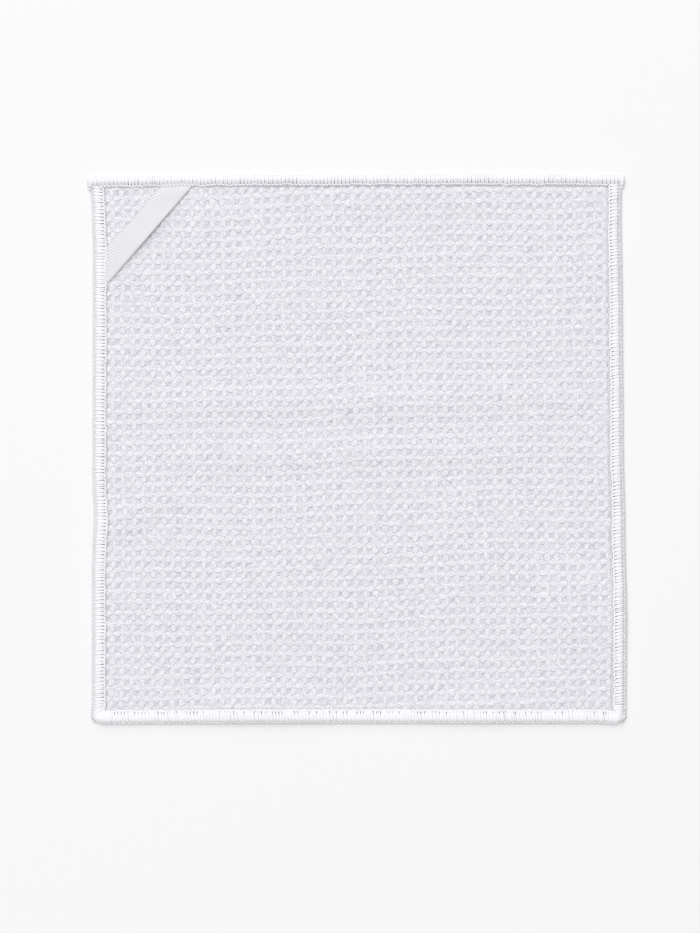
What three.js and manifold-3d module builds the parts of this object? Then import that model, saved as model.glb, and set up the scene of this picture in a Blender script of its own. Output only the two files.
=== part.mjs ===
import * as THREE from "three";
import { mergeVertices } from "three/addons/utils/BufferGeometryUtils.js";
import Module from "manifold-3d";

// A microfiber dishcloth, laid out flat. A waffle-woven panel has its four raw edges squeezed
// and bound by overlock stitching, one side after the other, and a short ribbon is caught
// slantwise across one corner by the same stitching. Millimetres, X across, Y up the cloth,
// Z up from the table, with the origin under the middle of the cloth.

const CLOTH_WIDTH = 300;
const CLOTH_HEIGHT = 309;
const GAP = 0.3;

// The weave stands FIELD_THICK high over its ridges, and is squeezed thin inside the binding.
const FIELD_THICK = 2.2;
const RIM_BASE = 0.7;
const RIM_TOP = 1.7;
const RIM_INSET = 2.5;
const SWELL_START = 0.5;
const SWELL_END = 3.2;
const FIELD_CELLS = 20;

// The binding is a flattened roll of thread, BAND_HIGH thick over its crown.
const BAND_HIGH = 3.2;
const BAND_MIDDLE = 1.4;
const BAND_STEP = 13;
const NUB_REACH = 0.9;

// The ribbon's ends are squeezed and tucked under the binding, and the middle of its folded
// edge bows up off the cloth.
const RIBBON_WIDTH = 13;
const RIBBON_THICK = 1.0;
const RIBBON_SQUEEZED = 0.5;
const RIBBON_TUCK = 3.6;
const RIBBON_BOW = 1.3;
const RIBBON_STEPS = 10;
const RIBBON_COLUMNS = 4;

// The four sides in sewing order, anticlockwise, each a quarter turn on from the one before.
// reach is how far the stitching comes in over the cloth, and starts and ends say how the
// band is finished at each corner.
const SIDES = {
  bottom: { length: CLOTH_WIDTH, across: CLOTH_HEIGHT, reach: 7.9, starts: "mitre", ends: "mitre" },
  right: { length: CLOTH_HEIGHT, across: CLOTH_WIDTH, reach: 7.9, starts: "mitre", ends: "butt" },
  top: { length: CLOTH_WIDTH, across: CLOTH_HEIGHT, reach: 6.6, starts: "nub", ends: "nub" },
  left: { length: CLOTH_HEIGHT, across: CLOTH_WIDTH, reach: 7.9, starts: "butt", ends: "mitre" },
};
const ORDER = Object.keys(SIDES);

// How far each side strays outwards from the plain rectangle, at a share of the way along it.
const STRAY = {
  bottom: [
    { along: 0.0, out: 0.9 },
    { along: 0.1, out: 0.5 },
    { along: 0.4, out: -0.3 },
    { along: 0.75, out: -0.3 },
    { along: 0.95, out: 0.2 },
    { along: 1.0, out: 1.1 },
  ],
  right: [
    { along: 0.0, out: 2.0 },
    { along: 0.2, out: 2.1 },
    { along: 0.36, out: 1.3 },
    { along: 0.5, out: 0.4 },
    { along: 0.78, out: -0.2 },
    { along: 0.93, out: -0.9 },
    { along: 1.0, out: -0.5 },
  ],
  top: [
    { along: 0.0, out: 0.1 },
    { along: 0.3, out: 0.3 },
    { along: 0.7, out: -0.1 },
    { along: 0.9, out: -0.6 },
    { along: 1.0, out: -1.2 },
  ],
  left: [
    { along: 0.0, out: 1.5 },
    { along: 0.06, out: 0.5 },
    { along: 0.13, out: -0.2 },
    { along: 0.57, out: 0.0 },
    { along: 0.62, out: -0.9 },
    { along: 0.72, out: 0.3 },
    { along: 0.95, out: 0.4 },
    { along: 1.0, out: 1.0 },
  ],
};

// Soft swells where the cloth doesn't lie quite flat: the centre of each, how it slopes, its
// half length and half breadth, and its height. The two long ones leave the flattened fold
// that crosses the middle of the cloth between them.
const SWELLS = [
  { x: -6, y: 27, slope: 0.019, halfX: 143, halfY: 15, high: 1.0 },
  { x: 4, y: -3, slope: 0.019, halfX: 146, halfY: 14, high: 0.9 },
  { x: -136, y: -42, slope: 0.3, halfX: 26, halfY: 17, high: 1.1 },
  { x: 128, y: -94, slope: -0.2, halfX: 34, halfY: 40, high: 1.2 },
  { x: -52, y: -146, slope: 0, halfX: 46, halfY: 20, high: 0.9 },
  { x: 66, y: -147, slope: 0, halfX: 38, halfY: 17, high: 0.7 },
  { x: 40, y: 143, slope: 0, halfX: 54, halfY: 19, high: 0.8 },
];

// The section of the binding: inward is a share of its reach from the outer line, up is a
// share of its height.
const BAND_SECTION = [
  { inward: 0.0, up: 0.42 },
  { inward: 0.05, up: 0.16 },
  { inward: 0.2, up: 0.0 },
  { inward: 0.6, up: 0.0 },
  { inward: 0.94, up: 0.0 },
  { inward: 1.0, up: 0.12 },
  { inward: 1.0, up: 0.74 },
  { inward: 0.92, up: 0.93 },
  { inward: 0.66, up: 1.0 },
  { inward: 0.36, up: 1.0 },
  { inward: 0.15, up: 0.9 },
  { inward: 0.03, up: 0.68 },
];

// How a band begins or ends: at a distance from the outer line of the side that it meets,
// how far its own outer line is drawn in, how far in its inner line then reaches (none: the
// whole reach), and its height.
const CORNER_ENDS = {
  mitre: [
    { from: 2.3, drawn: 0.82, inner: 1.87, high: 0.6 },
    { from: 3.5, drawn: 0.25, inner: 3.07, high: 0.85 },
    { from: 5.3, drawn: 0, inner: 4.87, high: 1 },
    { from: 8.33, drawn: 0, high: 1 },
  ],
  nub: [
    { from: -NUB_REACH, drawn: 1.5, inner: 5.2, high: 0.5 },
    { from: 0.7 - NUB_REACH, drawn: 0.5, inner: 6.2, high: 0.82 },
    { from: 2.1 - NUB_REACH, drawn: 0, high: 1 },
  ],
  butt: [{ from: SIDES.top.reach + GAP, drawn: 0, high: 1 }],
};

// Where the ribbon's long edges meet the stitching, from the top left corner.
const RIBBON_EDGES = {
  soft: { fromTop: 39.2, fromLeft: 38.6 },
  folded: { fromTop: 61.6, fromLeft: 55.5 },
};

const clothMaterial = new THREE.MeshStandardMaterial({ color: "#e6e6ec", roughness: 0.95, metalness: 0 });
const threadMaterial = new THREE.MeshStandardMaterial({ color: "#f3f3f6", roughness: 0.6, metalness: 0 });
const ribbonMaterial = new THREE.MeshStandardMaterial({ color: "#f1f2f5", roughness: 0.45, metalness: 0 });

const { lerp, clamp, smoothstep } = THREE.MathUtils;
const wasm = await Module();
wasm.setup();

// How far a side's outer line strays outwards at a length along it from its middle.
function outerLine(side, along) {
  const share = clamp(along / SIDES[side].length + 0.5, 0, 1);
  const rows = STRAY[side];
  const next = Math.max(rows.findIndex((row) => row.along >= share), 1);
  const [a, b] = [rows[next - 1], rows[next]];
  return lerp(a.out, b.out, smoothstep(share, a.along, b.along));
}

// The point at a length along a side and a depth inwards from the plain rectangle's edge.
function onSide(side, along, inward) {
  const turned = new THREE.Vector2(along, inward - SIDES[side].across / 2);
  return turned.rotateAround(new THREE.Vector2(), (ORDER.indexOf(side) * Math.PI) / 2);
}

function lift(x, y) {
  let high = 0;
  for (const swell of SWELLS) {
    const dx = (x - swell.x) / swell.halfX;
    const dy = (y - swell.y - swell.slope * (x - swell.x)) / swell.halfY;
    const far = Math.min(Math.hypot(dx ** 2, dy), 1);
    high += swell.high * Math.cos((far * Math.PI) / 2) ** 2;
  }
  return high;
}

// Moves every vertex of a stock shape to its place, and keeps the shape closed.
function shaped(stock, place) {
  stock.deleteAttribute("normal");
  stock.deleteAttribute("uv");
  const solid = mergeVertices(stock, 1e-6);
  const points = solid.attributes.position;
  for (let i = 0; i < points.count; i += 1) {
    const [x, y, z] = place(points.getX(i), points.getY(i), points.getZ(i));
    points.setXYZ(i, x, y, z);
  }
  return solid;
}

function toSolid(geometry) {
  const vertProperties = new Float32Array(geometry.attributes.position.array);
  const triVerts = new Uint32Array(geometry.index.array);
  return new wasm.Manifold(new wasm.Mesh({ numProp: 3, vertProperties, triVerts }));
}

function toGeometry(solid) {
  const { vertProperties, triVerts } = solid.getMesh();
  const geometry = new THREE.BufferGeometry();
  geometry.setAttribute("position", new THREE.BufferAttribute(vertProperties, 3));
  geometry.setIndex(new THREE.BufferAttribute(triVerts, 1));
  return geometry;
}

// The swelling from the squeezed rim, 0, to the full weave, 1, by the distance inside a band.
const SWELL_LINES = [
  { inside: SWELL_START, swell: 0 },
  { inside: 1.5, swell: 0.72 },
  { inside: SWELL_END, swell: 1 },
];

// The panel's grid lines across one direction: the rim, the swelling, then even cells.
function gridLines(lowSide, highSide) {
  const rim = (side) => [
    { inset: RIM_INSET, swell: 0 },
    ...SWELL_LINES.map(({ inside, swell }) => ({ inset: SIDES[side].reach + inside, swell })),
  ];
  const low = rim(lowSide).map((line) => ({ ...line, share: 0 }));
  const high = rim(highSide).map(({ inset, swell }) => ({ inset: -inset, swell, share: 1 }));
  const [first, last] = [low.at(-1).inset, high.at(-1).inset];
  const field = [];
  for (let i = 1; i < FIELD_CELLS; i += 1) {
    const share = i / FIELD_CELLS;
    field.push({ inset: lerp(first, last, share), swell: 1, share });
  }
  return [...low, ...field, ...high.reverse()];
}

// The panel, or with grow the room that the binding leaves for it.
function wafflePanel(grow) {
  const columns = gridLines("left", "right");
  const rows = gridLines("bottom", "top");
  const stock = new THREE.BoxGeometry(1, 1, 1, columns.length - 1, rows.length - 1, 1);
  return shaped(stock, (px, py, pz) => {
    const column = columns[Math.round((px + 0.5) * (columns.length - 1))];
    const row = rows[Math.round((py + 0.5) * (rows.length - 1))];
    const y0 = lerp(-CLOTH_HEIGHT / 2, CLOTH_HEIGHT / 2, row.share) + row.inset;
    const left = -CLOTH_WIDTH / 2 - outerLine("left", -y0);
    const right = CLOTH_WIDTH / 2 + outerLine("right", y0);
    const x = lerp(left, right, column.share) + column.inset + grow * 2 * px;
    const bottom = -CLOTH_HEIGHT / 2 - outerLine("bottom", x);
    const top = CLOTH_HEIGHT / 2 + outerLine("top", -x);
    const y = lerp(bottom, top, row.share) + row.inset + grow * 2 * py;
    const swell = Math.min(column.swell, row.swell);
    const low = lerp(RIM_BASE, 0, swell) - grow;
    const high = lerp(RIM_TOP, FIELD_THICK, swell) + grow;
    return [x, y, lift(x, y) + (pz > 0 ? high : low)];
  });
}

// The stations of one band: its end rows, and even steps between them.
function bandStations(side) {
  const { length, across, reach, starts, ends } = SIDES[side];
  const before = ORDER.at(ORDER.indexOf(side) - 1);
  const after = ORDER[(ORDER.indexOf(side) + 1) % ORDER.length];
  const low = -length / 2 - outerLine(before, across / 2);
  const high = length / 2 + outerLine(after, -across / 2);
  const whole = (row, along) => ({ ...row, inner: row.inner ?? reach, along });
  const first = CORNER_ENDS[starts].map((row) => whole(row, low + row.from));
  const last = CORNER_ENDS[ends].map((row) => whole(row, high - row.from)).reverse();
  const [from, to] = [first.at(-1).along, last[0].along];
  const steps = Math.round((to - from) / BAND_STEP);
  const middle = [];
  for (let i = 1; i < steps; i += 1) {
    middle.push(whole({ drawn: 0, high: 1 }, lerp(from, to, i / steps)));
  }
  return [...first, ...middle, ...last];
}

function bandRoll(side) {
  const stations = bandStations(side);
  const spokes = BAND_SECTION.length;
  const stock = new THREE.CylinderGeometry(1, 1, 1, spokes, stations.length - 1);
  return shaped(stock, (px, py, pz) => {
    const station = stations[Math.round((py + 0.5) * (stations.length - 1))];
    const spoke = Math.round((Math.atan2(px, pz) / (2 * Math.PI)) * spokes + spokes) % spokes;
    const core = Math.hypot(px, pz) < 0.5;
    const { inward, up } = core ? { inward: 0.5, up: BAND_MIDDLE / BAND_HIGH } : BAND_SECTION[spoke];
    const outer = station.drawn - outerLine(side, station.along);
    const depth = lerp(outer, station.inner - outerLine(side, station.along), inward);
    const point = onSide(side, station.along, depth);
    const high = lerp(BAND_MIDDLE, BAND_HIGH * up, station.high);
    return [point.x, point.y, lift(point.x, point.y) + high];
  });
}

// The ribbon, or with grow the room that the binding leaves for it. across runs from its soft
// edge, 0, to its folded edge, 1, and along from the left band, 0, to the top band, 1.
function slantRibbon(grow) {
  const ends = [{ inside: -RIBBON_TUCK - grow, swell: 0 }, ...SWELL_LINES];
  const steps = RIBBON_STEPS + 2 * ends.length - 2;
  const stock = new THREE.BoxGeometry(1, 1, 1, RIBBON_COLUMNS, steps, 1);
  return shaped(stock, (px, py, pz) => {
    const across = px + 0.5 + (grow * 2 * px) / RIBBON_WIDTH;
    const y0 = CLOTH_HEIGHT / 2 - lerp(RIBBON_EDGES.soft.fromTop, RIBBON_EDGES.folded.fromTop, across);
    const x0 = SIDES.left.reach - CLOTH_WIDTH / 2 - outerLine("left", -y0);
    const x1 = lerp(RIBBON_EDGES.soft.fromLeft, RIBBON_EDGES.folded.fromLeft, across) - CLOTH_WIDTH / 2;
    const y1 = CLOTH_HEIGHT / 2 + outerLine("top", -x1) - SIDES.top.reach;
    const first = ends.map(({ inside, swell }) => ({ along: inside / (x1 - x0), swell }));
    const last = ends.map(({ inside, swell }) => ({ along: 1 - inside / (y1 - y0), swell }));
    const lines = [...first];
    for (let i = 1; i < RIBBON_STEPS; i += 1) {
      const along = lerp(first.at(-1).along, last.at(-1).along, i / RIBBON_STEPS);
      lines.push({ along, swell: 1 });
    }
    lines.push(...last.reverse());
    const { along, swell } = lines[Math.round((py + 0.5) * steps)];
    const [x, y] = [lerp(x0, x1, along), lerp(y0, y1, along)];
    const bow = RIBBON_BOW * clamp(across, 0, 1) ** 2 * Math.sin(clamp(along, 0, 1) * Math.PI) ** 2;
    const base = lerp(RIM_TOP, FIELD_THICK, swell) + GAP + bow - grow;
    const thick = lerp(RIBBON_SQUEEZED, RIBBON_THICK, swell) + 2 * grow;
    return [x, y, base + (pz > 0 ? thick : 0) + lift(x, y)];
  });
}

function piece(name, geometry, material) {
  const flat = geometry.toNonIndexed();
  flat.computeVertexNormals();
  const mesh = new THREE.Mesh(flat, material);
  mesh.name = name;
  return mesh;
}

const panelRoom = toSolid(wafflePanel(GAP));
const ribbonRoom = toSolid(slantRibbon(GAP));

const dishcloth = new THREE.Group();
dishcloth.name = "dishcloth";
dishcloth.add(piece("waffle_cloth", wafflePanel(0), clothMaterial));
dishcloth.add(piece("corner_ribbon", slantRibbon(0), ribbonMaterial));
for (const side of Object.keys(SIDES)) {
  const band = toSolid(bandRoll(side)).subtract(panelRoom).subtract(ribbonRoom);
  dishcloth.add(piece(`overlock_${side}`, toGeometry(band), threadMaterial));
}

const middle = new THREE.Box3().setFromObject(dishcloth).getCenter(new THREE.Vector3());
dishcloth.position.set(-middle.x, -middle.y, 0);
dishcloth.updateMatrixWorld(true);

export default dishcloth;
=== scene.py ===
import math
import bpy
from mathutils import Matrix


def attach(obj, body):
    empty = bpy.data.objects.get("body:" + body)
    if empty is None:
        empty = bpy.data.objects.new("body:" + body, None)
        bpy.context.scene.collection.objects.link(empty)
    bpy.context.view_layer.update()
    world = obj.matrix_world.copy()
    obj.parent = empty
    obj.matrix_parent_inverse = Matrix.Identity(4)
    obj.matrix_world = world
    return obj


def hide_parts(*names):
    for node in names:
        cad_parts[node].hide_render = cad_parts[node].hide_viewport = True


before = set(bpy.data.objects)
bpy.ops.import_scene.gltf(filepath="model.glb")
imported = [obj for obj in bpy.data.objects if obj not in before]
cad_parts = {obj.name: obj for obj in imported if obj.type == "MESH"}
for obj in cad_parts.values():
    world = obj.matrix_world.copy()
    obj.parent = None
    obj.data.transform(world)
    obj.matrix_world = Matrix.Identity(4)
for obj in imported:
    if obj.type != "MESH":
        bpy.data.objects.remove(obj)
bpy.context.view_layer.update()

from types import SimpleNamespace
import bpy
import numpy as np

bpy.ops.object.select_all(action="DESELECT")


# The panel: one cut of waffle-woven microfibre, soft and about 2 mm thick over its ridges.
# Its raw edges are squeezed flat inside the overlock stitching, and it lies on the table with
# a few soft swells and one flattened fold across its middle.
MM = 0.001
CLOTH_WIDTH = 300.0
CLOTH_HEIGHT = 309.0
# The least height of a thread over the table, and where the plain rectangle's middle lies in
# the frame.
TABLE_CLEAR = 0.02
CLOTH_MIDDLE = np.array([0.1504, 0.3445, 0.0])
SIDES = ["bottom", "right", "top", "left"]
LENGTH = {"bottom": CLOTH_WIDTH, "right": CLOTH_HEIGHT, "top": CLOTH_WIDTH, "left": CLOTH_HEIGHT}
ACROSS = {"bottom": CLOTH_HEIGHT, "right": CLOTH_WIDTH, "top": CLOTH_HEIGHT, "left": CLOTH_WIDTH}
# How far in from its outer line each side's stitching comes, and how far that line strays
# outwards from the plain rectangle, at shares of the way along it.
REACH = {"bottom": 8.3, "right": 8.5, "top": 6.4, "left": 8.3}
STRAY = {
    "bottom": ([0, 0.1, 0.4, 0.75, 0.95, 1], [1.35, 1.05, 0.65, 0.75, 0.8, 1.5]),
    "right": ([0, 0.2, 0.36, 0.5, 0.78, 0.93, 1], [2.0, 2.1, 1.3, 0.4, -0.2, -0.9, -0.5]),
    "top": ([0, 0.3, 0.7, 0.9, 1], [0.1, 0.3, -0.1, -0.6, -1.2]),
    "left": ([0, 0.06, 0.13, 0.57, 0.62, 0.72, 0.95, 1], [1.5, 0.5, -0.2, 0, -0.9, 0.3, 0.4, 1.0]),
}
SWELLS = [
    # x, y, slope, half length, half breadth, height
    (-6, 27, 0.019, 143, 15, 1.0),
    (4, -3, 0.019, 146, 14, 0.9),
    (-136, -42, 0.3, 26, 17, 1.1),
    (128, -94, -0.2, 34, 40, 1.2),
    (-52, -146, 0, 46, 20, 0.9),
    (66, -147, 0, 38, 17, 0.7),
    (40, 143, 0, 54, 19, 0.8),
]
RIM_INSET = 2.5
RIM_MIDDLE = 1.05
WEAVE_MIDDLE = 1.2
WEAVE_WAVE = 0.22
SHEET_THICK = 0.8
CELL_TALL = 6.03
WEAVE_INSET = 8.2
CELLS_ACROSS = 50
CELLS_UP = 53
ROW_RISE = 0.0215
FIRST_CELL = (-0.35, 0.46)
STEPS_A_CELL = 3
# Beside the stitching the weave is painted darker, as painted shade, over this depth. Rows past
# the cloth's edge are drawn back to it, this far apart.
BINDING_SHADE_LEVEL = 0.55
BINDING_SHADE_SPAN = [0.2, 1.3]
CLIPPED_STEP = 0.02


def outer_line(side, along):
    """How far a side strays outwards from the plain rectangle, at a length along it."""
    share = np.clip(np.asarray(along) / LENGTH[side] + 0.5, 0, 1)
    at, out = (np.array(row, float) for row in STRAY[side])
    last = np.clip(np.searchsorted(at, share), 1, len(at) - 1)
    t = (share - at[last - 1]) / (at[last] - at[last - 1])
    return out[last - 1] + (out[last] - out[last - 1]) * t * t * (3 - 2 * t)


def lift(x, y):
    """How far the cloth stands off the table in its swells."""
    high = 0
    for sx, sy, slope, half_x, half_y, top in SWELLS:
        dx = (x - sx) / half_x
        dy = (y - sy - slope * (x - sx)) / half_y
        high = high + top * np.cos(np.minimum(np.hypot(dx**2, dy), 1) * math.pi / 2) ** 2
    return high


def inside_binding(x, y):
    """How far a point lies inside the nearest band of stitching, less than 0 under it."""
    depths = []
    for side in SIDES:
        along, outward = x, y
        for _ in range(SIDES.index(side)):
            along, outward = outward, -along
        depths.append(outward + ACROSS[side] / 2 + outer_line(side, along) - REACH[side])
    return np.minimum.reduce(depths)


def swell(x, y):
    """From 0 in the squeezed rim to 1 in the full weave."""
    return np.interp(inside_binding(x, y), [-0.8, 0.3, 1.8], [0, 0.65, 1])


def weave_place(u, v):
    """x and y of the weave's threads: u counts cells from the left band, v cells up."""
    u, v = u + FIRST_CELL[0], v + FIRST_CELL[1]
    y = (v - CELLS_UP / 2) * CELL_TALL
    for _ in range(2):
        left = -CLOTH_WIDTH / 2 - outer_line("left", -y) + WEAVE_INSET
        right = CLOTH_WIDTH / 2 + outer_line("right", y) - WEAVE_INSET
        x = left + (right - left) * u / CELLS_ACROSS
        x = x + 0.35 * np.sin(y / 17 + 0.6) + 0.3 * np.sin(y / 41 - x / 60)
        wander = 0.55 * np.sin(x / 33 + y / 90) + 0.4 * np.sin(x / 15 - y / 31 + 1.3)
        y = (v - CELLS_UP / 2) * CELL_TALL + ROW_RISE * x + wander
    return x, y


def weave_wave(u, v):
    """The panel's egg-crate form: high along the ridges and low in the pits."""
    a, b = np.cos(2 * math.pi * u), np.cos(2 * math.pi * v)
    return -0.5 * a * b + 0.3 * (a + b)


def add_mesh(name, points, faces):
    """A piece of the cloth from its points, in millimetres from the cloth's middle."""
    mesh = bpy.data.meshes.new(name)
    mesh.from_pydata(((points + CLOTH_MIDDLE) * MM).tolist(), [], faces)
    piece = bpy.data.objects.new(name, mesh)
    bpy.context.collection.objects.link(piece)
    mesh.shade_smooth()
    return piece


def set_painted_shade(piece, depth):
    """Keeps a painted shade level for each point, 0 dark to 1 light, for the finish to read."""
    layer = piece.data.attributes.new("depth", "FLOAT", "POINT")
    layer.data.foreach_set("value", np.clip(depth, 0, 1).astype(np.float32).ravel())


def link(nodes, a, out, b, into):
    """Joins an output of one node to an input of another, by name or by number."""
    nodes.id_data.links.new(nodes[a].outputs[out], nodes[b].inputs[into])


def add_node(nodes, kind, name, **values):
    """A named node with the given settings, the capitalised ones being its inputs."""
    node = nodes.new(kind)
    node.name = name
    for key, value in values.items():
        if hasattr(node, key):
            setattr(node, key, value)
        else:
            node.inputs[key.replace("_", " ").title()].default_value = value
    return node


def add_ramp(nodes, name, *stops):
    """A colour ramp from its stops, each a place from 0 to 1 and a colour."""
    elements = add_node(nodes, "ShaderNodeValToRGB", name).color_ramp.elements
    for element, (place, colour) in ((elements[0], stops[0]), (elements[1], stops[-1])):
        element.color = (*colour, 1)
        element.position = place
    for place, colour in stops[1:-1]:
        elements.new(place).color = (*colour, 1)


def new_finish(name, settings):
    """A new material with the given settings on its shader."""
    finish = bpy.data.materials.new(name)
    finish.use_nodes = True
    for socket, value in settings.items():
        finish.node_tree.nodes["Principled BSDF"].inputs[socket].default_value = value
    return finish


# The microfibre: matt and a little cool, with painted shade that greys it down in the pits, round the puffs
# and beside the stitching, and with fuzz and fine strands.
# A Mix node's sockets repeat their names, so they are found by number.
NUMBER_A, NUMBER_B, NUMBER_OUT = 2, 3, 0
COLOUR_A, COLOUR_B, COLOUR_OUT = 6, 7, 2
microfibre = new_finish("white_microfibre", {
    "Roughness": 0.95,
    "Specular IOR Level": 0.2,
    "Sheen Weight": 0.1,
    "Sheen Roughness": 0.6,
})
nodes = microfibre.node_tree.nodes
add_node(nodes, "ShaderNodeTexCoord", "place")
add_node(nodes, "ShaderNodeUVMap", "yarn", uv_map="yarn")
add_node(nodes, "ShaderNodeAttribute", "depth", attribute_name="depth")
add_node(nodes, "ShaderNodeTexNoise", "fuzz", Scale=1400.0, Detail=3.0, Roughness=0.6, Distortion=0.8)
add_node(nodes, "ShaderNodeTexNoise", "strands", Scale=1500.0, Detail=1.0, Distortion=1.0)
add_ramp(nodes, "shades", (0, (0.55, 0.55, 0.63)), (0.4, (0.85, 0.85, 0.895)), (1, (0.895, 0.895, 0.94)))
fibres = add_node(nodes, "ShaderNodeMix", "fibres", data_type="FLOAT")
fibres.inputs[0].default_value = 0.6
add_ramp(nodes, "tone", (0.38, (0.74, 0.74, 0.75)), (0.58, (1, 1, 1)))
mix = add_node(nodes, "ShaderNodeMix", "fuzz_tone", data_type="RGBA", blend_type="MULTIPLY")
mix.inputs[0].default_value = 1.0
add_node(nodes, "ShaderNodeBump", "fuzz_bump", Strength=0.7, Distance=0.0004)
link(nodes, "place", "Object", "fuzz", "Vector")
link(nodes, "yarn", "UV", "strands", "Vector")
link(nodes, "depth", "Fac", "shades", "Fac")
link(nodes, "fuzz", "Fac", "fibres", NUMBER_A)
link(nodes, "strands", "Fac", "fibres", NUMBER_B)
link(nodes, "fibres", NUMBER_OUT, "tone", "Fac")
link(nodes, "fibres", NUMBER_OUT, "fuzz_bump", "Height")
link(nodes, "shades", "Color", "fuzz_tone", COLOUR_A)
link(nodes, "tone", "Color", "fuzz_tone", COLOUR_B)
link(nodes, "fuzz_tone", COLOUR_OUT, "Principled BSDF", "Base Color")
link(nodes, "fuzz_bump", "Normal", "Principled BSDF", "Normal")

grain = np.random.default_rng(7)
u_lines = (np.arange(CELLS_ACROSS * STEPS_A_CELL) + 0.5) / STEPS_A_CELL
v_lines = (np.arange(-1, CELLS_UP * STEPS_A_CELL + 1) + 0.5) / STEPS_A_CELL
u_all = np.concatenate([[-1, -0.4], u_lines, [CELLS_ACROSS + 0.4, CELLS_ACROSS + 1]])
U, V = np.meshgrid(u_all, v_lines, indexing="ij")
X, Y = weave_place(U, V)
rim_left = -CLOTH_WIDTH / 2 - outer_line("left", -Y) + RIM_INSET
rim_right = CLOTH_WIDTH / 2 + outer_line("right", Y) - RIM_INSET
X[0], X[-1] = rim_left[0], rim_right[-1]
order = np.arange(len(v_lines)) * CLIPPED_STEP
low = -CLOTH_HEIGHT / 2 - outer_line("bottom", X) + RIM_INSET
high = CLOTH_HEIGHT / 2 + outer_line("top", -X) - RIM_INSET
Y = np.clip(Y, low + order, high - order[-1] + order)
full = swell(X, Y)
Z = RIM_MIDDLE + (WEAVE_MIDDLE + WEAVE_WAVE * weave_wave(U, V) - RIM_MIDDLE) * full
sheet_points = np.stack([X, Y, Z + lift(X, Y)], -1).reshape(-1, 3)
across, up = U.shape
corner = (np.arange(across - 1)[:, None] * up + np.arange(up - 1)).ravel()
faces = np.stack([corner, corner + up, corner + up + 1, corner + 1], -1).tolist()
cloth = add_mesh("waffle_sheet", sheet_points, faces)
patchy = grain.normal(0, 1, (CELLS_ACROSS + 4, CELLS_UP + 4))[U.astype(int) + 1, V.astype(int) + 1]
# Painted shade: the sheet is painted darker down in the pits and beside the stitching, with a little random
# tone cell by cell.
binding_shade = np.interp(inside_binding(X, Y), BINDING_SHADE_SPAN, [BINDING_SHADE_LEVEL, 1])
set_painted_shade(cloth, binding_shade * (0.4 + 0.13 * weave_wave(U, V) + 0.04 * patchy))
cloth.data.materials.append(microfibre)
bpy.context.view_layer.objects.active = cloth
thickness = cloth.modifiers.new("thickness", "SOLIDIFY")
thickness.thickness = SHEET_THICK * MM
thickness.offset = 0
bpy.ops.object.modifier_apply(modifier="thickness")
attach(cloth, "root")
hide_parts("waffle_cloth")


# The face of the waffle: lengths of yarn that float over the sheet, weft ones lying across and
# warp ones lying up the cloth, with crumbs of fibre in the pits and crossings on the ridges. The
# underside has plainer floats the other way about. A puff is modelled, and laid in every cell.
TOP_BASE = 1.46
PIT_BASE = 1.12
CROSSING_BASE = 1.42
UNDER_BASE = 0.82
PAST_THE_EDGE = 0.9
CRUMBS_A_CELL = 2


def model_puff(segments, rings):
    """A low dome with a flat base, one unit in radius and height."""
    bpy.ops.mesh.primitive_uv_sphere_add(segments=segments, ring_count=rings, radius=1)
    puff = bpy.context.object
    bpy.ops.object.mode_set(mode="EDIT")
    bpy.ops.mesh.select_all(action="SELECT")
    bpy.ops.mesh.bisect(plane_co=(0, 0, -1e-4), plane_no=(0, 0, 1), use_fill=True, clear_inner=True)
    bpy.ops.mesh.select_all(action="SELECT")
    bpy.ops.mesh.remove_doubles(threshold=0.001)
    bpy.ops.object.mode_set(mode="OBJECT")
    return puff


def joined_copies(name, stock, places):
    """One mesh of many copies of a small piece: places holds each copy's own points."""
    count, corners = places.shape[:2]
    one = [list(face.vertices) for face in stock.data.polygons]
    faces = [[k + i * corners for k in face] for i in range(count) for face in one]
    return add_mesh(name, places.reshape(-1, 3), faces)


def points_of(stock):
    return np.array([vertex.co[:] for vertex in stock.data.vertices])


def set_yarn(piece, across, along):
    """Keeps where each point lies across and along its yarn, for the fibres to follow."""
    layer = piece.data.uv_layers.new(name="yarn")
    corners = np.empty(len(piece.data.loops), int)
    piece.data.loops.foreach_get("vertex_index", corners)
    places = np.stack([across.ravel(), along.ravel()], -1)[corners] * MM
    layer.data.foreach_set("uv", places.ravel())


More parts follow.
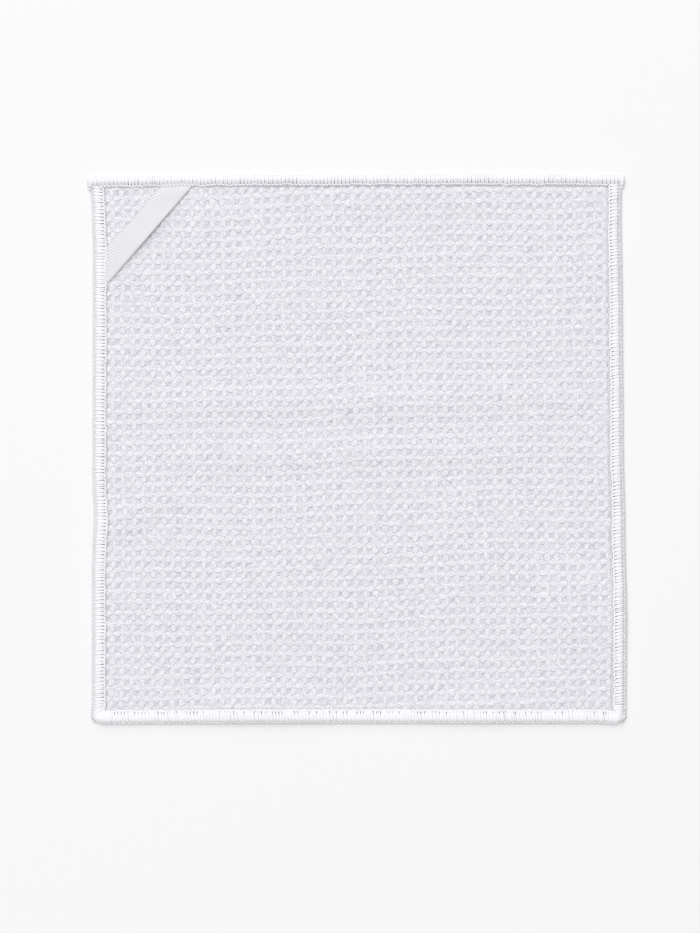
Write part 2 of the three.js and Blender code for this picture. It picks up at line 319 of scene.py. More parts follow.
def lay_puffs(
    name, stock, u, v, across, along, high, base=TOP_BASE, turned=0, side=1,
    squareness=2.0, rough=1.0, painted_lightness=1.0, binding_shade=0.85,
):
    """Lays the stock puff at each place of the weave, each a little different."""
    x, y = weave_place(u, v)
    keep = inside_binding(x, y) > -PAST_THE_EDGE
    x, y = x[keep], y[keep]
    count = len(x)

    def vary(size):
        return size * rough * grain.normal(0, 1, count)[:, None]

    shape = points_of(stock)
    angle, out = np.arctan2(shape[:, 1], shape[:, 0]), np.hypot(shape[:, 0], shape[:, 1])
    dome = np.clip(shape[:, 2], 0, 1)
    drawn = (abs(np.cos(angle)) ** squareness + abs(np.sin(angle)) ** squareness) ** (-1 / squareness)
    edge = 1 + vary(0.05) * np.cos(2 * angle + vary(2)) + vary(0.05) * np.cos(3 * angle + vary(2))
    sx = out**0.9 * drawn * edge * np.cos(angle)
    sy = out**0.9 * drawn * edge * np.sin(angle)
    px = along * sx * (1 + vary(0.07)) + vary(0.15) * sy
    py = across * sy * (1 + vary(0.08)) + vary(0.15) * sx
    tuck = vary(2)
    crease = np.exp(-(((sx * np.cos(tuck) + sy * np.sin(tuck) - vary(0.3)) / 0.25) ** 2))
    rise = dome**0.6 * (1 + vary(0.08) * sx + vary(0.1) * sy - abs(vary(0.25)) * crease)
    rise = high * rise * (1 + vary(0.12))
    turn = turned * math.pi / 2 + vary(0.1)
    wx = x[:, None] + px * np.cos(turn) - py * np.sin(turn) + vary(0.16)
    wy = y[:, None] + px * np.sin(turn) + py * np.cos(turn) + vary(0.16)
    full = swell(wx, wy)
    wz = RIM_MIDDLE + (base - RIM_MIDDLE) * full + side * rise * (0.45 + 0.55 * full)
    wz = np.maximum(wz, TABLE_CLEAR) + lift(wx, wy)
    piece = joined_copies(name, stock, np.stack([wx, wy, wz], -1))
    if side < 0:
        piece.data.flip_normals()
    # Painted shade: darker at each puff's base, where it meets the sheet and its neighbours, beside the
    # stitching, and for the crumbs down in the pits.
    painted_lightness = painted_lightness * np.interp(inside_binding(wx, wy), BINDING_SHADE_SPAN, [binding_shade, 1])
    set_painted_shade(piece, painted_lightness * np.clip(0.18 + 0.82 * dome + vary(0.1), 0, 1))
    set_yarn(piece, py + vary(40), 0.35 * px + vary(40))
    piece.data.materials.append(microfibre)
    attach(piece, "root")
    return piece


columns, rows = np.arange(-1, CELLS_ACROSS + 2), np.arange(-1, CELLS_UP + 1)
u, v = (grid.ravel() for grid in np.meshgrid(columns, rows))
puff = model_puff(12, 6)
weft = lay_puffs(
    "weft_floats", puff, u + 0.5, v, across=2.0, along=3.15, high=0.52,
    squareness=1.6, painted_lightness=0.9,
)
warp = lay_puffs(
    "warp_floats", puff, u, v + 0.5, across=1.85, along=2.65, high=0.5,
    turned=1, squareness=1.65, painted_lightness=0.8,
)
small = model_puff(5, 4)
crumb_u, crumb_v = (
    np.repeat(cell, CRUMBS_A_CELL) + grain.uniform(0.3, 0.7, CRUMBS_A_CELL * len(cell))
    for cell in (u, v)
)
crumbs = lay_puffs(
    "pit_crumbs", small, crumb_u, crumb_v, across=0.95, along=1.15, high=0.45,
    base=PIT_BASE, rough=2, painted_lightness=0.68, binding_shade=BINDING_SHADE_LEVEL,
)
crossings = lay_puffs(
    "ridge_crossings", small, u, v, across=1.4, along=1.6, high=0.45,
    base=CROSSING_BASE, painted_lightness=0.8,
)
under_weft = lay_puffs(
    "under_weft_floats", small, u, v + 0.5, across=1.9, along=2.9, high=0.7,
    base=UNDER_BASE, side=-1,
)
under_warp = lay_puffs(
    "under_warp_floats", small, u + 0.5, v, across=1.9, along=2.6, high=0.7,
    base=UNDER_BASE, turned=1, side=-1,
)
bpy.data.objects.remove(puff)
bpy.data.objects.remove(small)


# The ribbon: a narrow woven tape, folded double along its lower edge and laid slantwise across
# the corner. Both ends are caught in the overlock stitching, and its fold stands off the cloth.
RIBBON_WIDTH = 13
RIBBON_TUCK = 3.6
RIBBON_LOW = 1.6
RIBBON_RISE = 0.5
RIBBON_BOW = 1.6
RIBBON_STEPS = 60
RIBBON_LAYER = 0.3
FOLD_ROW = 7
TAPE_LONG = 60
TAPE_LAYERS_APART = 20
# Where the soft edge and the fold meet the corner's sides, down the left one and along the top
# one, and how far in from those sides' outer lines the tape goes under the stitching.
RIBBON_SOFT = (40.5, 37.6)
RIBBON_FOLD = (62.0, 55.9)
RIBBON_CAUGHT = {"left": 7.9, "top": 6.6}


def ribbon_place(across, inside):
    """A point of the tape: across from its soft edge to its fold, inside from end to end."""
    y0 = CLOTH_HEIGHT / 2 - (RIBBON_SOFT[0] + (RIBBON_FOLD[0] - RIBBON_SOFT[0]) * across)
    x0 = RIBBON_CAUGHT["left"] - CLOTH_WIDTH / 2 - outer_line("left", -y0)
    x1 = RIBBON_SOFT[1] + (RIBBON_FOLD[1] - RIBBON_SOFT[1]) * across - CLOTH_WIDTH / 2
    y1 = CLOTH_HEIGHT / 2 + outer_line("top", -x1) - RIBBON_CAUGHT["top"]
    low, high = -RIBBON_TUCK / (x1 - x0), 1 + RIBBON_TUCK / (y1 - y0)
    along = low + (high - low) * inside
    return x0 + (x1 - x0) * along, y0 + (y1 - y0) * along, np.clip(along, 0, 1)


turns = np.array([
    # share of the width, height of the layer over the tape's underside
    (0.0, 0.16), (0.12, 0.17), (0.3, 0.2), (0.5, 0.22), (0.7, 0.22), (0.88, 0.2), (0.97, 0.24),
    (1.0, 0.42), (0.97, 0.66), (0.88, 0.72), (0.7, 0.72), (0.5, 0.7), (0.3, 0.66), (0.12, 0.58),
    (0.0, 0.5),
])
S, T = np.meshgrid(np.arange(len(turns)), np.linspace(0, 1, RIBBON_STEPS + 1), indexing="ij")
across, layer = turns[S, 0], turns[S, 1]
X, Y, along = ribbon_place(across, T)
full = np.interp(inside_binding(X, Y), [0.2, 1.4, 3.2], [0, 0.72, 1])
bow = RIBBON_BOW * across**2 * np.sin(along * math.pi) ** 2
waver = 0.12 * np.sin(along * 11 + 2.5 * across) + 0.08 * np.sin(along * 23 - 3 * across + 1)
dip = 0.3 * np.exp(-((across / 0.12) ** 2))
Z = RIBBON_LOW + (RIBBON_RISE - dip) * full + bow + layer * (0.6 + 0.4 * full) + waver * full + lift(X, Y)
slip = 0.25 * np.sin(along * 9 + 0.5) * (1 - across)
points = np.stack([X - slip, Y + slip, Z], -1).reshape(-1, 3)
wide, long = S.shape
corner = (np.arange(wide - 1)[:, None] * long + np.arange(long - 1)).ravel()
faces = np.stack([corner, corner + long, corner + long + 1, corner + 1], -1).tolist()
ribbon = add_mesh("folded_ribbon", points, faces)
uv = ribbon.data.uv_layers.new(name="tape")
loops = np.array([loop.vertex_index for loop in ribbon.data.loops])
tape_across = across * RIBBON_WIDTH + (S > FOLD_ROW) * TAPE_LAYERS_APART
tape = np.stack([tape_across, T * TAPE_LONG], -1).reshape(-1, 2) * MM
uv.data.foreach_set("uv", tape[loops].ravel())
bpy.context.view_layer.objects.active = ribbon
thickness = ribbon.modifiers.new("thickness", "SOLIDIFY")
thickness.thickness = RIBBON_LAYER * MM
thickness.offset = 0
bpy.ops.object.modifier_apply(modifier="thickness")

# The tape's finish: white with a low satin sheen and fine slanting ribs.
satin = new_finish("white_ribbon", {"Roughness": 0.5, "Specular IOR Level": 0.35})
nodes = satin.node_tree.nodes
add_node(nodes, "ShaderNodeTexCoord", "place")
add_node(nodes, "ShaderNodeMapping", "turned", Rotation=(0, 0, math.radians(62)))
add_node(nodes, "ShaderNodeTexWave", "ribs", Scale=240.0, Distortion=14.0, Detail=0.0, Detail_Scale=0.25)
add_ramp(nodes, "shades", (0, (0.65, 0.65, 0.675)), (1, (0.82, 0.82, 0.845)))
add_node(nodes, "ShaderNodeBump", "rib_bump", Strength=0.25, Distance=0.0001)
link(nodes, "place", "Object", "turned", "Vector")
link(nodes, "turned", "Vector", "ribs", "Vector")
link(nodes, "ribs", "Fac", "shades", "Fac")
link(nodes, "ribs", "Fac", "rib_bump", "Height")
link(nodes, "shades", "Color", "Principled BSDF", "Base Color")
link(nodes, "rib_bump", "Normal", "Principled BSDF", "Normal")
ribbon.data.materials.append(satin)
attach(ribbon, "root")
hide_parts("corner_ribbon")


# The overlock stitching: bright polyester thread sewn over the raw edges, one side after the
# other. The looper thread lies over the edge in hairpins, one a stitch, whose bends are held
# by the needle thread. It is linked along the lip, and a soft roll of cloth edge fills it.
NEIGHBOURS = {side: (SIDES[k - 1], SIDES[(k + 1) % 4]) for k, side in enumerate(SIDES)}

# The stitches' spacing, how far in the lip and the bends lie, how far before the bends the
# needle holes lie, and how far past them the crevice beside the weave lies.
PITCH = {"bottom": 1.92, "right": 1.97, "top": 2.15, "left": 1.98}
LIP = {"bottom": 1.5, "right": 2.5, "top": 0.8, "left": 2.3}
BEND = {"bottom": 7.85, "right": 7.5, "top": 5.35, "left": 7.75}
HOLE = {"bottom": 1.6, "right": 1.15, "top": 1.0, "left": 1.5}
CREVICE = {"bottom": 0.4, "right": 0.95, "top": 0.6, "left": 0.6}

# How tall each row is over its foot, how it falls away inwards from a depth on, how full its
# threads are, and how its stitches lean: by a length, and by one that grows along the side.
# Thicknesses are given for the plain pitch.
RAISED = {"bottom": 1.35, "right": 1.45, "top": 1.0, "left": 1.0}
SLOPE = {"bottom": 0.0, "right": 0.0, "top": 0.05, "left": 0.0}
FULLNESS = {"bottom": 1.15, "right": 1.07, "top": 1.11, "left": 1.07}
LEAN = {"bottom": (0.9, 0), "right": (1.3, 0), "top": (0, 0), "left": (-0.2, 1.6)}
PLAIN_PITCH = 1.97
FOOT_HIGH = 0.5
FALLS_FROM = 1.2

# How light each row is painted, from 0 in the dark to 1: painted shade, darker where a row faces
# away from the light or lies in shadow.
LIP_SHADE = {"bottom": 0.55, "right": 0.5, "top": 1.0, "left": 0.35}
LINK_SHADE = {"bottom": 1.0, "right": 0.6, "top": 1.0, "left": 0.48}
GROOVE_SHADE = {"bottom": 0.5, "right": 0.55, "top": 1.0, "left": 0.3}
HOLE_SHADE = {"bottom": 1.0, "right": 0.95, "top": 0.3, "left": 0.9}
CREVICE_SHADE = {"bottom": 0.6, "right": 0.4, "top": 0.35, "left": 0.45}
ROLL_LIP_SHADE = {"bottom": 0.35, "right": 0.1, "top": 1.0, "left": 0.6}

# How each row's two ends are finished, and how far from them its stitches start. Round a mitre
# the stitches fan about a pivot, and the corner and its outer rail are rounded.
ENDS = {
    "bottom": ("mitre", "mitre"),
    "right": ("mitre", "butt"),
    "top": ("nub", "nub"),
    "left": ("butt", "mitre"),
}
END_START = {"mitre": 1.6, "nub": 0.2, "butt": 6.6}
INSIDE_RAILS = {"bottom": (2.0, 2.2), "right": (0.7, 0), "top": (0, 0), "left": (0, 0.9)}
FAN_TO = 14.0
FAN_PIVOT = 7.0
FAN_SQUEEZE = 0.55
CORNER_ROUND = 5.0
RAIL_ROUND = 3.0


def on_side(side, along, inward):
    """x and y of a point at a length along a side and a depth inwards from the rectangle."""
    x, y = np.asarray(along, float), np.asarray(inward, float) - ACROSS[side] / 2
    for _ in range(SIDES.index(side)):
        x, y = -y, x
    return x, y


def side_ends(side):
    """Where the outer lines of the two neighbouring sides cross this one."""
    before, after = NEIGHBOURS[side]
    low = -LENGTH[side] / 2 - outer_line(before, ACROSS[side] / 2)
    high = LENGTH[side] / 2 + outer_line(after, -ACROSS[side] / 2)
    return float(low), float(high)


def band_place(side, along, inward, high):
    """A point of a band: along its side, inwards from its outer line, and over the table."""
    x, y = on_side(side, along, inward - outer_line(side, along))
    return np.stack([x, y, high + lift(x, y)], -1)


def model_thread(sides, steps):
    """A straight length of thread, one unit in radius and length, with closed ends."""
    bpy.ops.mesh.primitive_cylinder_add(vertices=sides, radius=1, depth=1, end_fill_type="TRIFAN")
    thread = bpy.context.object
    bpy.ops.object.mode_set(mode="EDIT")
    bpy.ops.mesh.select_mode(type="EDGE")
    bpy.ops.mesh.select_all(action="DESELECT")
    bpy.ops.object.mode_set(mode="OBJECT")
    for edge in thread.data.edges:
        a, b = (thread.data.vertices[k].co.z for k in edge.vertices)
        edge.select = abs(a - b) > 0.5
    bpy.ops.object.mode_set(mode="EDIT")
    bpy.ops.mesh.subdivide(number_cuts=steps - 1)
    bpy.ops.mesh.select_mode(type="VERT")
    bpy.ops.object.mode_set(mode="OBJECT")
    return thread


def bent_threads(stock, paths, radii, flat=0.9):
    """The points of copies of a straight thread, each bent along its own path."""
    shape = points_of(stock)
    ring = np.rint((shape[:, 2] + 0.5) * (paths.shape[1] - 1)).astype(int)
    tangent = np.gradient(paths, axis=1)
    tangent /= np.linalg.norm(tangent, axis=-1, keepdims=True)
    middle = paths.mean(1, keepdims=True) - (0, 0, 0.4)
    out = paths - middle
    wide = np.cross(tangent, out)
    wide /= np.linalg.norm(wide, axis=-1, keepdims=True)
    out = np.cross(wide, tangent)
    reach = radii[:, ring, None]
    return paths[:, ring] + reach * (shape[:, :1] * wide[:, ring] - flat * shape[:, 1:2] * out[:, ring])


def slow_waves(along, size, *lengths):
    """A soft wander along a side, of about the given size."""
    phases = grain.uniform(0, 2 * math.pi, len(lengths))
    return size * sum(np.sin(along / long * 2 * math.pi + p) for long, p in zip(lengths, phases))


def rounded_in(far, start, radius):
    """How far a rounded corner draws a row in, at a distance from the side's end."""
    into = np.clip(radius + start - far, 0, radius)
    return radius - np.sqrt(radius**2 - into**2)


def stood_up(side, high, inwards):
    """A height of the section, as it is in this side's row."""
    return FOOT_HIGH + RAISED[side] * (high - FOOT_HIGH) - SLOPE[side] * np.maximum(inwards - FALLS_FROM, 0)


def space_stitches(side):
    """A side's row: its lines, its mitres, and where each stitch stands, a little unevenly."""
    low, high = side_ends(side)
    starts = [END_START[end] + inset for end, inset in zip(ENDS[side], INSIDE_RAILS[side])]
    first, last = low + starts[0], high - starts[1]
    both_ends = zip((low, high), (1, -1), starts, INSIDE_RAILS[side], ENDS[side])
    mitres = [end[:4] for end in both_ends if end[4] == "mitre"]
    lip, bend = LIP[side], BEND[side]
    line = {"outer": 0, "lip": lip, "hole": bend - HOLE[side], "bend": bend, "crevice": bend + CREVICE[side]}
    count = int(round((last - first) / PITCH[side]))
    even = np.linspace(first, last, count)
    even[3:-3] += slow_waves(even[3:-3], 0.35, 23, 37)
    share = (even - low) / (high - low)
    outer = even + grain.normal(0, 0.06, count)
    inner = even + grain.normal(0, 0.09, count)
    lean = LEAN[side][0] + LEAN[side][1] * share**3
    outer = outer + lean + slow_waves(even, 0.2, 31, 47)
    reach = np.full(count, bend) + grain.normal(0, 0.16, count) + slow_waves(even, 0.12, 19, 53)
    drawn = np.zeros(count)
    rail_drawn = np.zeros(count)
    squeezed = np.ones(count)
    for end, sign, start, inset in mitres:
        far = (even - end) * sign
        fanned = far < FAN_TO
        pivot = np.interp(far, [start, FAN_TO], [FAN_PIVOT, FAN_TO])
        inner = inner + (pivot - far) * sign * fanned
        outer = np.where(fanned, even + lean * (far - 1) / FAN_TO, outer)
        drawn = drawn + rounded_in(far, inset, CORNER_ROUND)
        rail_drawn = rail_drawn + rounded_in(far, start - 0.5, RAIL_ROUND)
        reach = np.where(fanned, np.minimum(reach, pivot - 0.1), reach)
        squeezed *= np.interp(far, [start, FAN_TO], [FAN_SQUEEZE, 1])
    return SimpleNamespace(
        low=low, high=high, first=first, last=last, mitres=mitres, line=line, count=count,
        outer=outer, inner=inner, reach=reach, drawn=drawn, rail_drawn=rail_drawn, squeezed=squeezed,
    )


# The thread: bright, with a soft sheen and fine fibres, and painted shade that greys it where it lies in
# shadow.
thread_white = new_finish("overlock_white", {
    "Roughness": 0.7,
    "Specular IOR Level": 0.3,
    "Sheen Weight": 0.15,
})
nodes = thread_white.node_tree.nodes
add_node(nodes, "ShaderNodeTexCoord", "place")
add_node(nodes, "ShaderNodeTexNoise", "fibre", Scale=2600.0, Detail=2.0)
add_node(nodes, "ShaderNodeAttribute", "depth", attribute_name="depth")
add_ramp(nodes, "shades", (0, (0.70, 0.70, 0.73)), (1, (0.945, 0.945, 0.975)))
add_ramp(nodes, "tone", (0.35, (0.95, 0.95, 0.955)), (0.6, (1, 1, 1)))
mix = add_node(nodes, "ShaderNodeMix", "fibre_tone", data_type="RGBA", blend_type="MULTIPLY")
mix.inputs[0].default_value = 1.0
add_node(nodes, "ShaderNodeBump", "fibre_bump", Strength=0.4, Distance=0.00012)
link(nodes, "place", "Object", "fibre", "Vector")
link(nodes, "depth", "Fac", "shades", "Fac")
link(nodes, "fibre", "Fac", "tone", "Fac")
link(nodes, "fibre", "Fac", "fibre_bump", "Height")
link(nodes, "shades", "Color", "fibre_tone", COLOUR_A)
link(nodes, "tone", "Color", "fibre_tone", COLOUR_B)
link(nodes, "fibre_tone", COLOUR_OUT, "Principled BSDF", "Base Color")
link(nodes, "fibre_bump", "Normal", "Principled BSDF", "Normal")

# The roll's cloth edge: matt, with painted shade that darkens it down between the threads.
roll_white = new_finish("overlock_roll", {"Roughness": 0.9})
nodes = roll_white.node_tree.nodes
add_node(nodes, "ShaderNodeTexCoord", "place")
add_node(nodes, "ShaderNodeTexNoise", "fibre", Scale=1500.0, Detail=2.0)
add_node(nodes, "ShaderNodeAttribute", "depth", attribute_name="depth")
add_ramp(nodes, "shades", (0, (0.42, 0.42, 0.46)), (0.5, (0.74, 0.74, 0.77)), (1, (0.90, 0.90, 0.92)))
add_node(nodes, "ShaderNodeBump", "fibre_bump", Strength=0.5, Distance=0.0002)
link(nodes, "place", "Object", "fibre", "Vector")
link(nodes, "depth", "Fac", "shades", "Fac")
link(nodes, "fibre", "Fac", "fibre_bump", "Height")
link(nodes, "shades", "Color", "Principled BSDF", "Base Color")
link(nodes, "fibre_bump", "Normal", "Principled BSDF", "Normal")

LEG = [
    # half a hairpin, from the underside to its bend: the line it is measured from, inwards,
    # sideways as a share of the pitch, height, thickness
    ("bend", -0.5, 0.27, 0.46, 0.36),
    ("lip", 1.6, 0.30, 0.44, 0.38),
    ("outer", 0.3, 0.30, 0.80, 0.34),
    ("outer", 0.35, 0.30, 1.12, 0.34),
    ("lip", -1.0, 0.30, 1.2, 0.36),
    ("lip", -0.4, 0.30, 1.32, 0.42),
    ("lip", 0.05, 0.30, 1.85, 0.52),
    ("lip", 0.7, 0.30, 2.25, 0.58),
    ("lip", 1.7, 0.30, 2.45, 0.59),
    ("hole", -1.6, 0.305, 2.45, 0.58),
    ("hole", -0.8, 0.315, 2.4, 0.55),
    ("hole", 0.0, 0.34, 2.32, 0.47),
    ("hole", 0.45, 0.33, 2.3, 0.46),
    ("bend", -0.25, 0.21, 2.34, 0.52),
    ("bend", 0.0, 0.0, 2.36, 0.55),
]
LEAST_INWARDS = 0.25
HOLE_LONG = 0.9
BOTTOM_OPEN_SHARE = 0.4
BOTTOM_CLOSED = 0.9
TOP_CLOSED = 0.25
hairpin_stock = model_thread(6, 2 * len(LEG) - 2)
short_stock = model_thread(6, 4)
ring_of_hairpin = np.rint((points_of(hairpin_stock)[:, 2] + 0.5) * (2 * len(LEG) - 2)).astype(int)


def lay_hairpins(side, row):
    """The looper thread over the edge: a hairpin for each stitch, its legs parted at the hole."""
    half = np.array([[max(row.line[a] + b, LEAST_INWARDS), c, d, e] for a, b, c, d, e in LEG])
    inwards, sideways, height, thickness = np.concatenate([half, half[-2::-1] * (1, -1, 1, 1)]).T
    toward = np.clip(inwards / BEND[side], 0, 1)
    opening = grain.uniform(-0.3, 0.3, row.count)
    if side == "bottom":
        stays_open = grain.random(row.count) < BOTTOM_OPEN_SHARE
        opening = np.where(stays_open, opening, opening - BOTTOM_CLOSED)
    elif side == "top":
        opening = opening - TOP_CLOSED
    opening = opening[:, None] * np.exp(-(((inwards - row.line["hole"]) / HOLE_LONG) ** 2))
    narrow = 1 - (1 - row.squeezed[:, None]) * toward
    along = row.outer[:, None] + (row.inner - row.outer)[:, None] * toward
    along = along - (sideways + 0.05 * opening * np.sign(sideways)) * PITCH[side] * narrow
    past_rail = np.ones(len(inwards))
    if side != "bottom":
        past_rail = np.interp(inwards, [LIP[side] - 0.8, LIP[side] + 0.2], [0, 1])
    pulled = row.drawn[:, None] * past_rail + row.rail_drawn[:, None] * (1 - past_rail)
    inward = inwards * (row.reach / BEND[side])[:, None] + pulled * (1 - toward)
    tall = stood_up(side, height, inwards)
    tall = tall + grain.normal(0, 0.05, row.count)[:, None] * (height > 1.5)
    uneven = 1 + 0.08 * grain.normal(0, 1, (row.count, 2))
    uneven = np.where(sideways > 0, uneven[:, :1], uneven[:, 1:])
    fullness = (PITCH[side] / PLAIN_PITCH) * FULLNESS[side]
    radii = (thickness - 0.1 * opening) * uneven * fullness * narrow**0.5
    places = bent_threads(hairpin_stock, band_place(side, along, inward, tall), radii)
    places[..., 2] = np.maximum(places[..., 2], TABLE_CLEAR)
    hairpins = joined_copies(f"overlock_{side}_hairpins", hairpin_stock, places)
    hole = row.line["hole"]
    # Painted shade along each hairpin, set by side: darker on the lip, in its groove and round the needle
    # hole.
    shade_at = [0.3, LIP[side] - 0.7, LIP[side] + 0.2, hole, hole + 0.4, BEND[side]]
    shades = [LIP_SHADE[side], GROOVE_SHADE[side], 1, HOLE_SHADE[side], HOLE_SHADE[side], 1]
    set_painted_shade(hairpins, np.tile(np.interp(inwards, shade_at, shades)[ring_of_hairpin], row.count))
    return hairpins


def lay_lip_links(side, row):
    """The links of the looper thread along the lip, a thick one and a thin one in turn."""
    half_long, fuller, drawn = 0.53, 1, row.rail_drawn
    if side == "bottom":
        half_long, fuller, drawn = 0.42, 1.3, row.drawn
    along = row.outer[:, None] + np.array([-1.0, -0.5, 0.0, 0.5, 1.0]) * half_long * PITCH[side]
    inward = np.maximum(np.array([0.75, 0.6, 0.5, 0.42, 0.4]) * LIP[side], LEAST_INWARDS) + drawn[:, None]
    tall = np.array([1.3, 1.4, 1.36, 1.25, 1.05]) * RAISED[side] + grain.normal(0, 0.06, (row.count, 1))
    thick = np.where(np.arange(row.count) % 2, 0.42, 0.26)[:, None]
    thick = thick * fuller * grain.normal(1, 0.12, (row.count, 1))
    radii = np.array([0.55, 0.95, 1.0, 0.85, 0.5]) * thick
    places = bent_threads(short_stock, band_place(side, along, inward, tall), radii)
    links = joined_copies(f"overlock_{side}_lip_links", short_stock, places)
    # The links are painted in their side's shade.
    set_painted_shade(links, np.full(len(links.data.vertices), LINK_SHADE[side]))
    return links


def lay_needle_line(side, row):
    """The needle thread that holds the bends: a short stitch at each, but none at the corners."""
    along = row.inner[:, None] + np.array([0.1, 0.3, 0.5, 0.7, 0.9]) * PITCH[side]
    inward = row.reach[:, None] + np.array([0.0, -0.2, -0.3, -0.2, 0.0])
    inward = inward + grain.normal(0, 0.05, (row.count, 1))
    arch = np.array([1.8, 2.2, 2.28, 2.2, 1.8])
    tall = FOOT_HIGH + RAISED[side] * (arch - FOOT_HIGH) - SLOPE[side] * BEND[side]
    paths = band_place(side, along, inward, tall)
    radii = np.array([0.3, 0.42, 0.46, 0.42, 0.3]) * grain.normal(1, 0.1, (row.count, 1))
    corner = FAN_PIVOT + 0.6
    keep = (row.inner > row.low + corner) & (row.inner < row.high - corner)
    places = bent_threads(short_stock, paths[keep], radii[keep])
    stitches = joined_copies(f"overlock_{side}_needle_line", short_stock, places)
    set_painted_shade(stitches, np.ones(len(stitches.data.vertices)))
    return stitches


ROLL_SECTION = [
    # the line it is measured from, inwards, height, and a painted shade or the name of one
    ("outer", 0.2, 0.95, 0.5),
    ("outer", 0.3, 0.6, 0.5),
    ("outer", 1.2, 0.42, 0.5),
    ("outer", 4.0, 0.42, 1),
    ("bend", -1.0, 0.55, 1),
    ("bend", -0.1, 1.0, 0.5),
    ("crevice", 0.5, 1.5, "crevice"),
    ("crevice", -0.1, 1.62, "crevice"),
    ("bend", -0.1, 1.5, "crevice"),
    ("hole", 0.5, 1.7, "hole"),
    ("hole", -0.5, 1.8, "hole"),
    ("hole", -1.2, 1.95, 1),
    ("lip", 1.2, 2.1, 1),
    ("lip", 0.2, 1.6, 1),
    ("lip", -0.6, 1.3, "lip"),
    ("outer", 0.45, 1.28, "rail"),
]
ROLL_CORE = (3.5, 1.3)
ROLL_FOOT_TOP = 1.2


def lay_roll(side, row):
    """The soft roll of cloth edge inside the stitches, one long section closed at both ends."""
    rings = 2 * row.count
    stock = model_thread(len(ROLL_SECTION), rings - 1)
    shape = points_of(stock)
    ring = np.rint((shape[:, 2] + 0.5) * (rings - 1)).astype(int)
    spoke = np.rint(np.arctan2(shape[:, 1], shape[:, 0]) / (2 * math.pi) * len(ROLL_SECTION))
    spoke = spoke.astype(int) % len(ROLL_SECTION)
    core = np.hypot(shape[:, 0], shape[:, 1]) < 0.5
    along = np.linspace(row.first - 0.2, row.last + 0.2, rings)[ring]
    squeeze = np.ones(len(shape))
    drawn = np.zeros(len(shape))
    for end, sign, _, inset in row.mitres:
        far = (along - end) * sign
        squeeze = np.minimum(squeeze, np.interp(far, [1.5, 7.9], [0.15, 1]))
        drawn = drawn + rounded_in(far, inset, CORNER_ROUND)
    # Painted shade of the roll: darkest down in the needle holes, and set by side at the lip, the rail and
    # the low ledge it puts out into the crevice beside the weave, a dark strip standing for that crevice's
    # shadow.
    named = {
        "crevice": CREVICE_SHADE[side],
        "hole": 0,
        "lip": ROLL_LIP_SHADE[side],
        "rail": 0.5 + 0.5 * LIP_SHADE[side],
    }
    inwards = np.array([row.line[start] + inward for start, inward, _, _ in ROLL_SECTION])
    height = np.array([high for _, _, high, _ in ROLL_SECTION])
    shade = np.array([named.get(shade, shade) for *_, shade in ROLL_SECTION], float)
    stays_low = (height < ROLL_FOOT_TOP) | np.array([shade == "crevice" for *_, shade in ROLL_SECTION])
    height = np.where(stays_low, height, stood_up(side, height, inwards))
    inward = np.where(core, ROLL_CORE[0], inwards[spoke]) * squeeze + drawn
    tall = np.where(core, ROLL_CORE[1], height[spoke])
    roll = joined_copies(f"overlock_{side}_roll", stock, band_place(side, along, inward, tall)[None])
    set_painted_shade(roll, shade[spoke])
    bpy.data.objects.remove(stock)
    return roll


for side in SIDES:
    row = space_stitches(side)
    hairpins = lay_hairpins(side, row)
    links = lay_lip_links(side, row)
    stitches = lay_needle_line(side, row)
    roll = lay_roll(side, row)
    roll.data.materials.append(roll_white)
    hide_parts(f"overlock_{side}")
    for thread in (hairpins, stitches, links):
        thread.data.materials.append(thread_white)
    for piece in (hairpins, stitches, links, roll):
        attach(piece, "root")


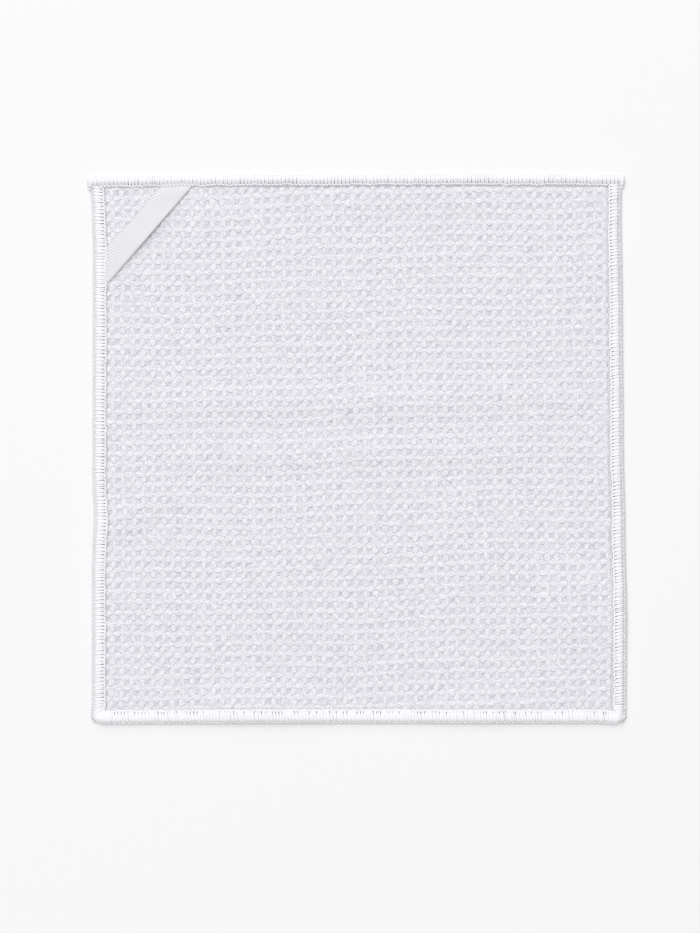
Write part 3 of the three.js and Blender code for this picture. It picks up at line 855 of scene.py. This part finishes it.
# The ends of the top row, which run past both top corners: the last few turns of the thread curl
# round the small nub that the row ends in.
NUB_LOOPS = [
    # how far past the row's end, inwards from, inwards to, height at the middle, thickness, painted shade
    (1.0, 1.5, 6.6, 1.3, 0.46, 0.4),
    (0.9, 1.2, 5.8, 1.9, 0.36, 0.6),
    (-0.2, 0.7, 5.7, 2.3, 0.55, 1.0),
    (0.7, 5.8, 7.2, 1.4, 0.42, 0.6),
    (-0.3, 5.7, 6.8, 1.9, 0.40, 1.0),
]
NUB_BACK = 1.2
NUB_DROP = 0.5
low, high = side_ends("top")
bow = np.array([0.0, 0.8, 1.0, 0.8, 0.0])
paths, radii, shades = [], [], []
for end, sign in ((low, -1), (high, 1)):
    for past, start, stop, tall, thick, shade in NUB_LOOPS:
        along = end + sign * (past * bow - NUB_BACK + NUB_BACK * bow)
        inward = np.linspace(start, stop, len(bow))
        paths.append(band_place("top", along, inward, tall - NUB_DROP * (1 - bow)))
        radii.append(thick * np.array([0.7, 1, 1, 1, 0.7]))
        shades.append(shade)
places = bent_threads(short_stock, np.array(paths), np.array(radii))
nub = joined_copies("overlock_nub_loops", short_stock, places)
set_painted_shade(nub, np.repeat(shades, len(short_stock.data.vertices)))
nub.data.materials.append(thread_white)
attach(nub, "root")
for stock in (hairpin_stock, short_stock):
    bpy.data.objects.remove(stock)


# The photograph's set: a plain pale table top, a soft light from the top left, and the camera
# straight above.
bpy.ops.mesh.primitive_plane_add(size=4.0, location=(0, 0, 0))
table = bpy.context.object
table.name = "table_top"
pale = new_finish("pale_table", {"Base Color": (0.884, 0.884, 0.882, 1), "Roughness": 0.9})
table.data.materials.append(pale)

bpy.ops.object.light_add(type="AREA", location=(-1.6, 5.5, 4.8))
window = bpy.context.object
window.name = "soft_window"
window.data.shape = "DISK"
window.data.size = 6.9
window.data.energy = 231.0
window.rotation_euler = (math.radians(-47), math.radians(-18.3), 0)

bpy.ops.object.light_add(type="AREA", location=(-0.8, 0.4, 6.2))
ceiling = bpy.context.object
ceiling.name = "bright_ceiling"
ceiling.data.shape = "SQUARE"
ceiling.data.size = 5.6
ceiling.data.energy = 202.0

world = bpy.data.worlds.new("white_room")
bpy.context.scene.world = world
world.use_nodes = True
world.node_tree.nodes["Background"].inputs["Color"].default_value = (1, 1, 1, 1)
world.node_tree.nodes["Background"].inputs["Strength"].default_value = 0.437

bpy.ops.object.camera_add(location=(-0.0042, -0.0096, 2.0015), rotation=(0, 0, 0))
camera = bpy.context.object
camera.name = "overhead_camera"
camera.data.sensor_fit = "VERTICAL"
camera.data.sensor_height = 36.0
camera.data.lens = 136.6
bpy.context.scene.camera = camera
bpy.context.scene.view_settings.view_transform = "Standard"
